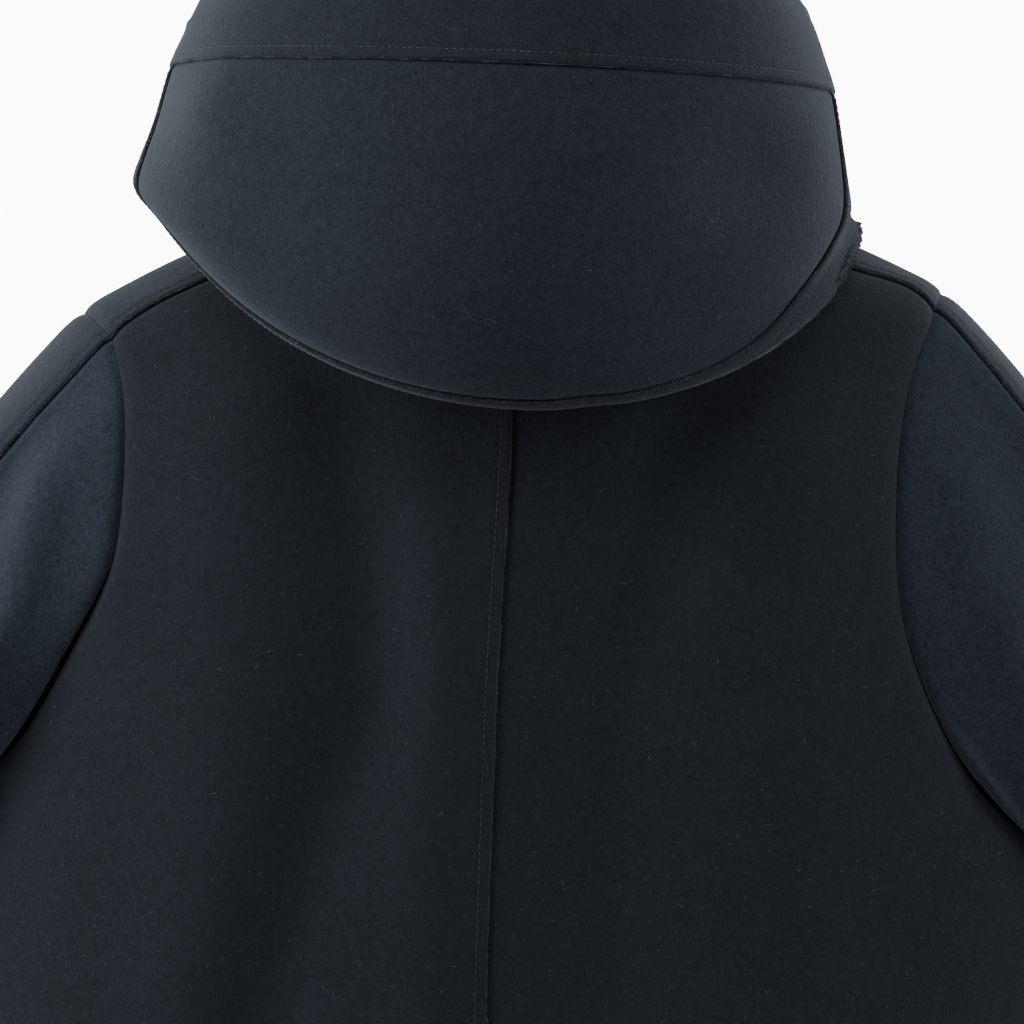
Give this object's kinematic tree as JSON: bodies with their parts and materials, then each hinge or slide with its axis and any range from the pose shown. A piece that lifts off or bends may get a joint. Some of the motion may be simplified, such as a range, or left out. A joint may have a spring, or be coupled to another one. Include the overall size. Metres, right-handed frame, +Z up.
{
  "type": "hooded coat",
  "caption": "Dark navy thick wool coat with a deep hood lying down its back, raw lapped seams and a button front, filled out as if worn on nobody.",
  "frame": {"origin": "between the shoulders, level with where the shoulders meet the neck, on the garment's mid planes", "axes": "+Z up, -Y towards the front of the garment, +X towards the wearer's left"},
  "size_m": [0.9026, 0.3188, 1.0061],
  "materials": {
    "wool": "fuzzy felted wool",
    "button": "satin"
  },
  "bodies": {
    "root": {"back_left": "wool", "back_right": "wool", "front_left": "wool", "front_right": "wool", "sleeve_left_back": "wool", "sleeve_left_front": "wool", "sleeve_right_back": "wool", "sleeve_right_front": "wool", "hood_crown": "wool", "hood_side": "wool", "hood_band": "wool", "button_1": "button", "button_2": "button", "button_3": "button", "button_4": "button", "button_5": "button"}
  },
  "joints": []
}
